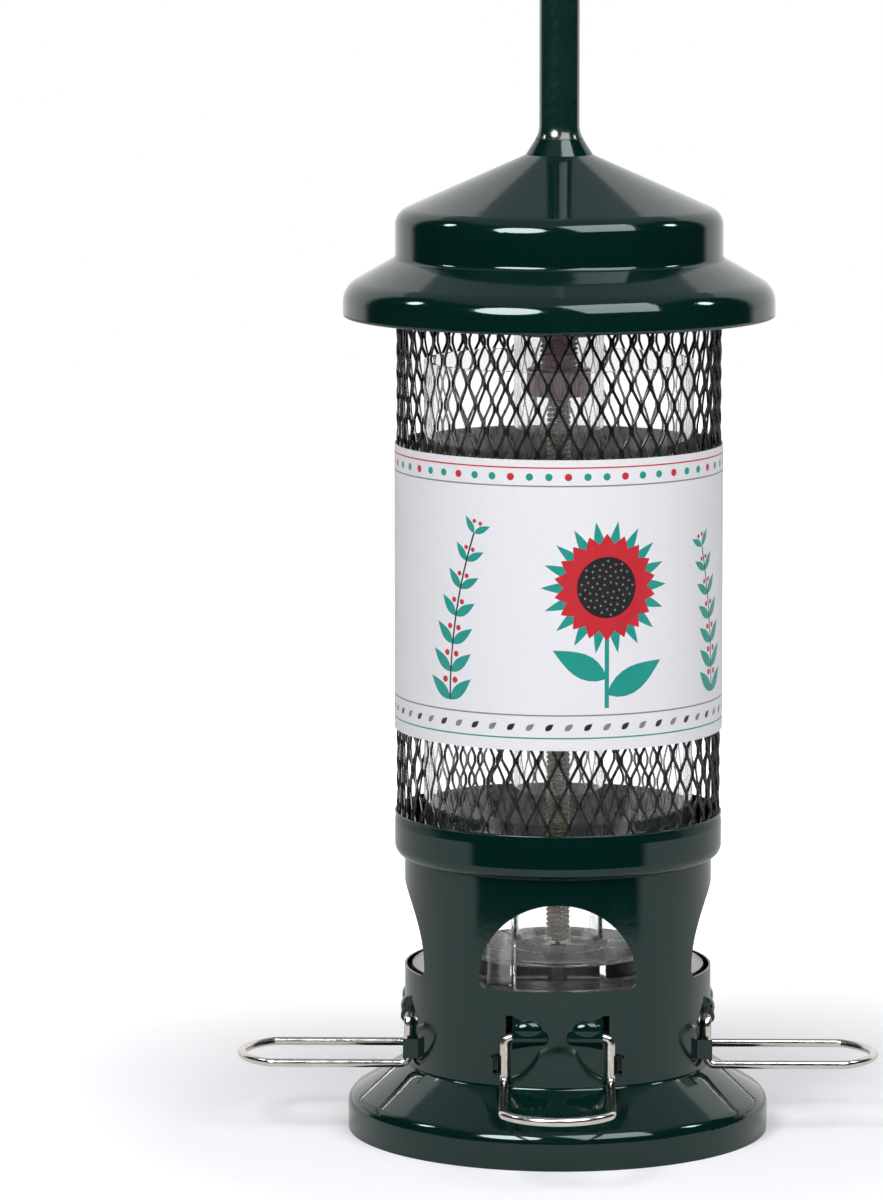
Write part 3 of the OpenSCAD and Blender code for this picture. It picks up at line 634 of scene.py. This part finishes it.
def borders(width, height):
    half = width / 2
    shapes = []
    for i in range(BORDER_COUNT):
        x = (i + 0.5) * width / BORDER_COUNT - half
        shapes.append((RED if i % 3 == 0 else TEAL, disc(x, height - DOT_DOWN, DOT_R, DOT_SIDES)))
        shapes.append((GREY if i % 2 else INK, leaf(x - SLANT_BACK, *SLANT_LEAF)))
    stripes = LOW_STRIPES + tuple((height - down, ink) for down, ink in HIGH_STRIPES)
    for y, ink in stripes:
        shapes.append((ink, bar(STRIPE_END - half, y, half - STRIPE_END, y + STRIPE_H)))
    return shapes


def card_shapes():
    """Outlines in millimetres from the card's front middle and lower edge, in painting order."""
    width, height = CARD_W / MM, CARD_H / MM
    shapes = borders(width, height)
    for centre in (-width / 2, 0):
        x = FLOWER_X + centre
        shapes.append((TEAL, bar(x - STEM_HALF, STEM_LOW, x + STEM_HALF, STEM_HIGH)))
        for y, length, leaf_width, turn in STEM_LEAVES:
            shapes.append((TEAL, leaf(x, y, length, leaf_width, math.radians(turn))))
        shapes += flower(x, FLOWER_Y)
        for place, tall, lean in SPRIGS:
            shapes += sprig(centre + place, SPRIG_FOOT, tall, lean)
    return [(ink, wrap_card(outline, width)) for ink, outline in shapes]


def wrap_card(outline, width):
    """Keeps an outline that would cross the card's seam on one side of it."""
    limit = width / 2 - SEAM_CLEAR
    shift = 0.0
    if outline[:, 0].min() < -limit - SEAM_OVER and outline[:, 0].max() < limit - width / 4:
        shift = width if outline[:, 0].mean() < -width / 2 else 0.0
    moved = outline + np.array([shift, 0])
    moved[:, 0] = np.clip(moved[:, 0], -limit, limit)
    return moved


def inside(outline, points):
    """Which points lie inside a closed outline."""
    hit = np.zeros(len(points), bool)
    x, y = points[:, 0], points[:, 1]
    for (x0, y0), (x1, y1) in zip(outline, np.roll(outline, -1, axis=0)):
        if y0 == y1:
            continue
        crosses = (y0 > y) != (y1 > y)
        hit ^= crosses & (x < (x1 - x0) * (y - y0) / (y1 - y0) + x0)
    return hit


# Points of the print that lie nearer than this, in millimetres, become one
PRINT_WELD = 1e-5
# Blender's number for triangles inside the outlines
FILL_OUTLINES = 1


def make_card():
    columns, rows = CARD_COLUMNS, CARD_ROWS
    xs = (np.arange(columns + 1) / columns - 0.5) * CARD_W / MM
    ys = np.arange(rows + 1) / rows * CARD_H / MM
    grid = [Vector((x, y)) for y in ys for x in xs]
    row = columns + 1
    rim = list(range(row)) + [row * i + columns for i in range(1, rows + 1)]
    rim += [row * rows + i for i in range(columns - 1, -1, -1)] + [row * i for i in range(rows - 1, 0, -1)]
    edges = list(zip(rim, rim[1:] + rim[:1])) + [(i, row * rows + i) for i in range(1, columns)]
    shapes = card_shapes()
    for _, outline in shapes:
        first = len(grid)
        grid += [Vector(p) for p in outline]
        edges += [(first + i, first + (i + 1) % len(outline)) for i in range(len(outline))]
    flat, _, triangles, *_ = geometry.delaunay_2d_cdt(grid, edges, [], FILL_OUTLINES, PRINT_WELD)
    flat = np.array([tuple(p) for p in flat])
    triangles = np.array([tuple(t) for t in triangles])
    middles = flat[triangles].mean(axis=1)
    marks = np.full(len(triangles), PAPER)
    for ink, outline in shapes:
        low, high = outline.min(0), outline.max(0)
        near = np.nonzero(((middles >= low) & (middles <= high)).all(1))[0]
        marks[near[inside(outline, middles[near])]] = ink

    def wrapped(p, radius):
        a = p[:, 0] * MM / CARD_R - math.pi / 2
        return np.stack([radius * np.cos(a), radius * np.sin(a), CARD_LOW.z + p[:, 1] * MM], 1)

    inner = CARD_R - CARD_T
    low = np.stack([xs, np.full(row, ys[0])], 1)
    high = np.stack([xs, np.full(row, ys[-1])], 1)
    points = np.concatenate([wrapped(flat, CARD_R), wrapped(low, CARD_R), wrapped(high, CARD_R),
                             wrapped(low, inner), wrapped(high, inner)])
    base = len(flat)
    faces = [tuple(t) for t in triangles]
    for i in range(columns):
        a, b, c, d = (base + k * row + i for k in range(4))
        faces += [(a, a + 1, c + 1, c), (b, d, d + 1, b + 1), (c, c + 1, d + 1, d)]
        marks = np.append(marks, [PAPER, PAPER, BACK])
    inks = [printed("card", linear(232, 232, 236)),
            printed("red_print", linear(200, 28, 44)),
            printed("teal_print", linear(8, 150, 138)),
            printed("black_print", linear(34, 32, 34)),
            printed("grey_print", linear(128, 128, 132)),
            printed("card_back", linear(222, 226, 225), rough=0.6)]
    card = piece("printed_card", points, faces, inks, "shroud", marks)
    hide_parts("label_sleeve")


# Spring: a close coil of round wire with its ends drawn in to the axis
SPRING_CURLS = 108
COIL_STEPS = 16
WIRE_SIDES = 10
SPRING_WIRE_R = 0.7 * MM
SPRING_R = (SPRING_HIGH.x - SPRING_LOW.x) / 2 - SPRING_WIRE_R
SPRING_STRAIGHT = 0.6 * MM
SPIRAL_H = 1.6 * MM
SPIRAL_TURN = math.radians(300)


def spring_line():
    """Centreline points with their angle about the axis."""
    low = SPRING_LOW.z + SPRING_STRAIGHT + SPIRAL_H
    high = SPRING_HIGH.z - SPRING_STRAIGHT - SPIRAL_H
    pitch = (high - low) / SPRING_CURLS
    climb = pitch * SPIRAL_TURN / TAU
    spiral = []
    for i in range(1, COIL_STEPS + 1):
        s = i / COIL_STEPS
        spiral.append((SPRING_R * math.cos(math.pi / 2 * s) ** 2, SPIRAL_TURN * s,
                       climb * s + (SPIRAL_H - climb) * s * s))
    turns = TAU * SPRING_CURLS
    line = [(0.0, -SPIRAL_TURN, SPRING_LOW.z)]
    line += [(r, -a, low - z) for r, a, z in reversed(spiral)]
    line += [(SPRING_R, TAU * i / COIL_STEPS, low + pitch * i / COIL_STEPS)
             for i in range(SPRING_CURLS * COIL_STEPS + 1)]
    line += [(r, turns + a, high + z) for r, a, z in spiral]
    line.append((0.0, turns + SPIRAL_TURN, SPRING_HIGH.z))
    return line


def swept(line, radius, sides):
    """A round tube along points given as radius, angle and height."""
    centre = np.array([(r * math.cos(a), r * math.sin(a), z) for r, a, z in line])
    heading = np.gradient(centre, axis=0)
    heading[0] = heading[-1] = (0, 0, 1)
    rings = []
    for (_, a, _), p, t in zip(line, centre, heading):
        t = t / np.linalg.norm(t)
        u = np.array([math.cos(a), math.sin(a), 0])
        u -= (u @ t) * t
        u /= np.linalg.norm(u)
        v = np.cross(t, u)
        rings.append([p + radius * (math.cos(TAU * k / sides) * u + math.sin(TAU * k / sides) * v)
                      for k in range(sides)])
    return tube(rings)


def make_spring():
    points, faces = swept(spring_line(), SPRING_WIRE_R, WIRE_SIDES)
    spring = piece("coil_spring", points, faces, [BRONZE], None, sharp=60)
    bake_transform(spring)
    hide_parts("spring")


# Adjuster: a ribbed grip below a threaded stem
GRIP_H = 8.6 * MM
GRIP_TOP = GRIP_LOW.z + GRIP_H
GRIP_ROUND = 0.9 * MM
GRIP_ARC = [math.radians(a) for a in range(0, 91, 15)]
RIBS = 36
RIB_STEPS = 8
RIB_DEPTH = 0.35 * MM
# How far in the ribs reach, as a share of the rounding
RIB_REACH = 0.9
# Radius of the pinhole that the grip's two faces leave at the axis
AXIS_R = 0.01 * MM
STEM_R = 6.0 * MM
STEM_SIDES = 48
STEM_SINK = 0.02 * MM
THREAD_PITCH = 1.5 * MM
THREAD_DEPTH = 0.8 * MM
THREAD_STEPS = 12
# Thread's outline: how steep its flanks are, and how much of its wave is cut off at the root
THREAD_SLOPE = 1.5
THREAD_ROOT = 0.25


def make_grip():
    grip_r = GRIP_HIGH.x
    profile = [(AXIS_R, GRIP_LOW.z)]
    for a in GRIP_ARC:
        profile.append((grip_r - GRIP_ROUND * (1 - math.sin(a)), GRIP_LOW.z + GRIP_ROUND * (1 - math.cos(a))))
    for a in GRIP_ARC:
        profile.append((grip_r - GRIP_ROUND * (1 - math.cos(a)), GRIP_TOP - GRIP_ROUND * (1 - math.sin(a))))
    profile.append((AXIS_R, GRIP_TOP))
    radii, heights = np.array(profile).T
    ribbed = radii > grip_r - GRIP_ROUND * RIB_REACH
    rings = []
    for i in range(RIBS * RIB_STEPS):
        a = i * TAU / (RIBS * RIB_STEPS)
        dip = RIB_DEPTH * (0.5 - 0.5 * math.cos(RIBS * a)) ** 2
        r = np.where(ribbed, radii - dip, radii)
        rings.append(np.stack([r * math.cos(a), r * math.sin(a), heights], 1))
    points, faces = tube(rings, closed=True)
    grip = piece("adjuster_grip", points, faces, [MAROON], "adjuster", sharp=50)
    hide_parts("spring_adjuster")


def make_stem():
    stem_h = GRIP_HIGH.z - GRIP_TOP
    rows = int(stem_h / THREAD_PITCH * THREAD_STEPS)
    rings = []
    for i in range(rows + 1):
        z = GRIP_TOP - STEM_SINK + stem_h * i / rows
        ring = []
        for k in range(STEM_SIDES):
            a = k * TAU / STEM_SIDES
            wave = abs(((z - GRIP_TOP) / THREAD_PITCH - a / TAU) % 1 * 2 - 1)
            crest = min(max(wave * THREAD_SLOPE - THREAD_ROOT, 0), 1)
            r = STEM_R - THREAD_DEPTH * (1 - crest)
            ring.append((r * math.cos(a), r * math.sin(a), z))
        rings.append(ring)
    points, faces = tube(rings)
    stem = piece("adjuster_thread", points, faces, [MAROON], "adjuster", sharp=50)
    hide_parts("spring_adjuster")


# Rings of paint: hollow fillets where a sheet turns sharply upwards, a bead on the collar and a dark line of
# painted shade
RING_STEPS = 160
CROWN_FILLET = 2.0 * MM
SKIRT_FILLET = 1.3 * MM
FILLET_STEPS = 8
FILLET_SINK = 0.25 * MM
BEAD_R = 0.33 * MM
BEAD_SIDES = 12
BEAD_IN = 0.25 * MM
BEAD_DOWN = 0.05 * MM
GAP_IN = 0.3 * MM
GAP_OUT = 0.03 * MM
GAP_DOWN = 0.2 * MM
GAP_UP = 0.3 * MM


def make_ring(name, outline, material, body):
    points, faces = lathe(outline, RING_STEPS)
    piece(name, points, faces, [material], body, sharp=50)


def make_fillet(name, radius, foot, tilt, size, body):
    """A ring in the corner between an upright wall and a slope that falls away outwards at tilt degrees."""
    t = math.radians(tilt)
    middle_r = radius + size
    middle_z = foot + (size - size * math.sin(t)) / math.cos(t)
    profile = []
    for i in range(FILLET_STEPS + 1):
        a = math.pi + (math.pi / 2 - t) * i / FILLET_STEPS
        profile.append((middle_r + size * math.cos(a), middle_z + size * math.sin(a)))
    profile.append((profile[-1][0] - FILLET_SINK, profile[-1][1] - FILLET_SINK))
    profile.append((radius - FILLET_SINK, foot - FILLET_SINK))
    profile.append((radius - FILLET_SINK, middle_z - FILLET_SINK))
    make_ring(name, profile, GREEN, body)


def make_fillets():
    crown_r = ROOF_HIGH.x - BRIM_OUT
    make_fillet("crown_fillet", crown_r, ROOF_LOW.z + BRIM_H, BRIM_TILT, CROWN_FILLET, "roof")
    make_fillet("skirt_fillet", SHELL_R, BASE_HIGH.z, SKIRT_TILT, SKIRT_FILLET, "shroud")


def make_bead():
    """The rolled edge at the top of the collar."""
    r, z = SHELL_HIGH.x - BEAD_IN, SHELL_HIGH.z - BEAD_DOWN
    turns = [i * TAU / BEAD_SIDES for i in range(BEAD_SIDES)]
    ring = [(r + BEAD_R * math.cos(a), z + BEAD_R * math.sin(a)) for a in turns]
    make_ring("collar_bead", ring, GREEN, "shroud")


def make_gap():
    """A ring of painted shade: the dark line between the roof's neck and the sleeve that stands on it."""
    inner, outer = ROOF_NECK_R - GAP_IN, ROOF_NECK_R + GAP_OUT
    low, high = ROOF_HIGH.z - GAP_DOWN, ROOF_HIGH.z + GAP_UP
    make_ring("sleeve_gap", [(inner, low), (outer, low), (outer, high), (inner, high)], SHADE, "roof")


# Swelling of each louver: its middle beside the port, out from the axis and up, and its half sizes
PORTS = 4
LOUVER_AT = (9.0 * MM, 46.9 * MM, 39.6 * MM)
LOUVER_HALF = (4.9 * MM, 2.2 * MM, 3.4 * MM)
EGG_BANDS = 8
EGG_SIDES = 28


def half_egg():
    """Half an egg about the origin that bulges towards the front."""
    rings = []
    for i in range(EGG_BANDS):
        rise = math.pi / 2 * i / EGG_BANDS
        rings.append([(LOUVER_HALF[0] * math.cos(rise) * math.cos(TAU * k / EGG_SIDES),
                       -LOUVER_HALF[1] * math.sin(rise),
                       LOUVER_HALF[2] * math.cos(rise) * math.sin(TAU * k / EGG_SIDES))
                      for k in range(EGG_SIDES)])
    return tube(rings)


def make_louvers():
    """Half an egg on each louver, so that it swells like a pressed eyelid."""
    egg, faces = half_egg()
    swells = []
    for port in range(PORTS):
        c, s = math.cos(port * TAU / PORTS), math.sin(port * TAU / PORTS)
        for side in (-1, 1):
            x, y, z = egg[:, 0] + side * LOUVER_AT[0], egg[:, 1] - LOUVER_AT[1], egg[:, 2] + LOUVER_AT[2]
            swells.append((np.stack([x * c - y * s, x * s + y * c, z], 1), faces))
    points, faces = joined(swells)
    piece("louver_swells", points, faces, [GREEN], "shroud", sharp=50)


# Room: what lights dull faces, and what gloss sees.
# Its turns are from the front, as shares of a half turn, and its heights are sines of the rise
WHITE = (1, 1, 1, 1)
AMBIENT = (0.36, 0.36, 0.36, 1)
WALL_BY_TURN = ((0.0, 0.01), (0.62, 0.02), (0.67, 0.05), (0.71, 1.0))
FRONT = (0.01, 0.01, 0.01, 1)
FRONT_END = (0.6, 0.71)
CEILING = (0.33, 0.36, 0.38, 1)
# Heights at which the ceiling begins behind, and in front
WALL_TOP = (0.66, 0.68)
CEILING_EDGE = (0.72, 0.86)


def make_world():
    """White to the eye and through clear plastic; to gloss a pale wall, a ceiling and a dark front."""
    world = bpy.data.worlds.new("studio")
    bpy.context.scene.world = world
    world.use_nodes = True
    tree = world.node_tree
    ground = tree.nodes["Background"]
    split = tree.nodes.new("ShaderNodeSeparateXYZ")
    tree.links.new(tree.nodes.new("ShaderNodeTexCoord").outputs["Generated"], split.inputs[0])
    x, y, z = split.outputs
    turn = turn_share(tree, x, y)
    wall = colour_mix(tree, step_between(tree, z, *WALL_TOP), ramp(tree, turn, WALL_BY_TURN), CEILING)
    below = colour_mix(tree, step_between(tree, turn, *FRONT_END), FRONT, wall)
    room = colour_mix(tree, step_between(tree, z, *CEILING_EDGE), below, CEILING)
    lit = colour_mix(tree, ray_share(tree, "Is Glossy Ray"), AMBIENT, room)
    seen = ray_share(tree, "Is Camera Ray", "Is Transmission Ray")
    tree.links.new(colour_mix(tree, seen, lit, WHITE), ground.inputs["Color"])


# Lamps: name, turn and rise in degrees, size in metres, radiance, shape and what the lamp is for
LAMP_TARGET = Vector((0, 0, 0.18))
LAMP_AWAY = 1.5
LAMPS = (
    ("fill_left", -29, 42, (0.5, 0.6), 14, "ELLIPSE", "diffuse"),
    ("fill_right", 35, 42, (1.0, 0.7), 4.5, "RECTANGLE", "diffuse"),
    ("shine_left", -29, 34, (0.85, 0.75), 19, "ELLIPSE", "glossy"),
    ("shine_right", 36, 47, (1.05, 1.0), 6.5, "RECTANGLE", "glossy"),
    ("glint_left", -93, 36, (0.2, 0.26), 20, "ELLIPSE", "glossy"),
    ("glint_right", 95, 36, (0.2, 0.26), 20, "ELLIPSE", "glossy"),
)


def make_lamps():
    """Small lamps light the pieces, and broad ones shine in their gloss."""
    for name, side, up, size, radiance, shape, use in LAMPS:
        data = bpy.data.lights.new(name, "AREA")
        data.shape = shape
        data.size, data.size_y = size
        area = size[0] * size[1] * (math.pi / 4 if shape == "ELLIPSE" else 1)
        data.energy = radiance * math.pi * area
        lamp = bpy.data.objects.new(name, data)
        a, e = math.radians(side), math.radians(up)
        way = Vector((math.sin(a) * math.cos(e), -math.cos(a) * math.cos(e), math.sin(e)))
        lamp.location = LAMP_TARGET + way * LAMP_AWAY
        lamp.rotation_euler = (-way).to_track_quat("-Z", "Y").to_euler()
        lamp.visible_camera = False
        lamp.visible_transmission = False
        lamp.visible_diffuse = use == "diffuse"
        lamp.visible_glossy = use == "glossy"
        bpy.context.scene.collection.objects.link(lamp)


# Floor: a grey that differs a little for gloss
FLOOR_FAR = 2.4
FLOOR_SIDES = 72
FLOOR_GREY = (0.84, 0.84, 0.88, 1)
FLOOR_GREY_GLOSS = (0.83, 0.84, 0.84, 1)
# For the eye, its own light grows from a share near the feeder to full white further out
FLOOR_NEAR_R = 0.12
FLOOR_WHITE_R = 0.4
FLOOR_LIFT = 0.2
# Gloss sees it near the feeder and at the sides; in front it goes dark beyond these distances
FLOOR_GLOSS = 0.05
GLOSS_FRONT = (0.37, 0.44)
GLOSS_TURN = (0.315, 0.36)
UNLIT = (0, 0, 0, 1)


def make_floor():
    """The floor follows the shroud, whose skirt stands on it."""
    s = Shader("floor", Roughness=0.9)
    tree = s.tree
    s.bsdf.inputs["Specular IOR Level"].default_value = 0.0
    s.bsdf.inputs["Emission Color"].default_value = WHITE
    reach = s.add("ShaderNodeVectorMath", operation="LENGTH")
    s.link(s.place, reach.inputs[0])
    split = s.add("ShaderNodeSeparateXYZ")
    s.link(s.place, split.inputs[0])
    glossy = ray_share(tree, "Is Glossy Ray")
    far = step_between(tree, reach.outputs["Value"], *GLOSS_FRONT)
    aside = step_between(tree, turn_share(tree, split.outputs["X"], split.outputs["Y"]), *GLOSS_TURN)
    pale = arithmetic(tree, "MAXIMUM", arithmetic(tree, "SUBTRACT", 1, far), aside)
    dark = arithmetic(tree, "MULTIPLY", glossy, arithmetic(tree, "SUBTRACT", 1, pale))
    grey = colour_mix(tree, glossy, FLOOR_GREY, FLOOR_GREY_GLOSS)
    s.drive("Base Color", colour_mix(tree, arithmetic(tree, "SUBTRACT", 1, dark), UNLIT, grey))
    lift = s.span(reach.outputs["Value"], FLOOR_NEAR_R, FLOOR_WHITE_R, FLOOR_LIFT, 1.0)
    seen = arithmetic(tree, "MULTIPLY", ray_share(tree, "Is Camera Ray", "Is Transmission Ray"), lift)
    gloss = arithmetic(tree, "MULTIPLY", arithmetic(tree, "MULTIPLY", glossy, pale), FLOOR_GLOSS)
    s.drive("Emission Strength", arithmetic(tree, "MAXIMUM", seen, gloss))
    turns = [TAU * i / FLOOR_SIDES for i in range(FLOOR_SIDES)]
    corners = [(0, 0, 0)] + [(FLOOR_FAR * math.sin(a), -FLOOR_FAR * math.cos(a), 0) for a in turns]
    faces = [(0, i + 1, (i + 1) % FLOOR_SIDES + 1) for i in range(FLOOR_SIDES)]
    floor = piece("floor", corners, faces, [s.mat], "shroud")


make_camera()
dress_nodes()
make_cage()
make_card()
make_spring()
make_grip()
make_stem()
make_fillets()
make_bead()
make_gap()
make_louvers()
make_world()
make_lamps()
make_floor()
bpy.context.scene.view_settings.view_transform = "Standard"
